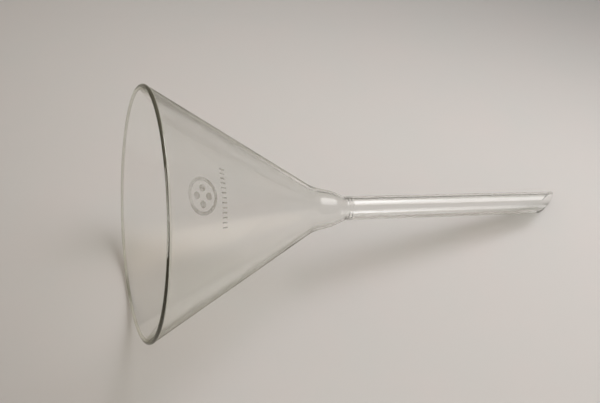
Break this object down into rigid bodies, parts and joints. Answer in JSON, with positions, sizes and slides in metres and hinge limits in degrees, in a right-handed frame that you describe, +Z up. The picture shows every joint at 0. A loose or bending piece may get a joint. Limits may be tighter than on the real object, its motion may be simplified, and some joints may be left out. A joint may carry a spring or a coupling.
{
  "type": "filter funnel",
  "caption": "Clear glass laboratory filter funnel: a 60 degree bowl with a rounded rim, sealed to a long straight stem with a bevelled tip, lying on its side.",
  "frame": {"origin": "on the bench, below the middle of the funnel as it lies at rest on its rim and the tip of its stem", "axes": "+Z up from the bench, +X from the mouth towards the stem's tip, +Y to the left when looking along +X; the funnel's own axis lies in the XZ plane and dips 13.1 degrees from +X towards the bench"},
  "size_m": [0.2036, 0.1, 0.0974],
  "materials": {
    "clear_glass": "smooth and flame-polished, faint green where seen edge on",
    "fired_enamel": "matt, thin and slightly see-through"
  },
  "bodies": {
    "root": {"bowl": "clear_glass", "seal": "clear_glass", "stem": "clear_glass", "emblem": "fired_enamel", "size_mark": "fired_enamel"}
  },
  "joints": []
}
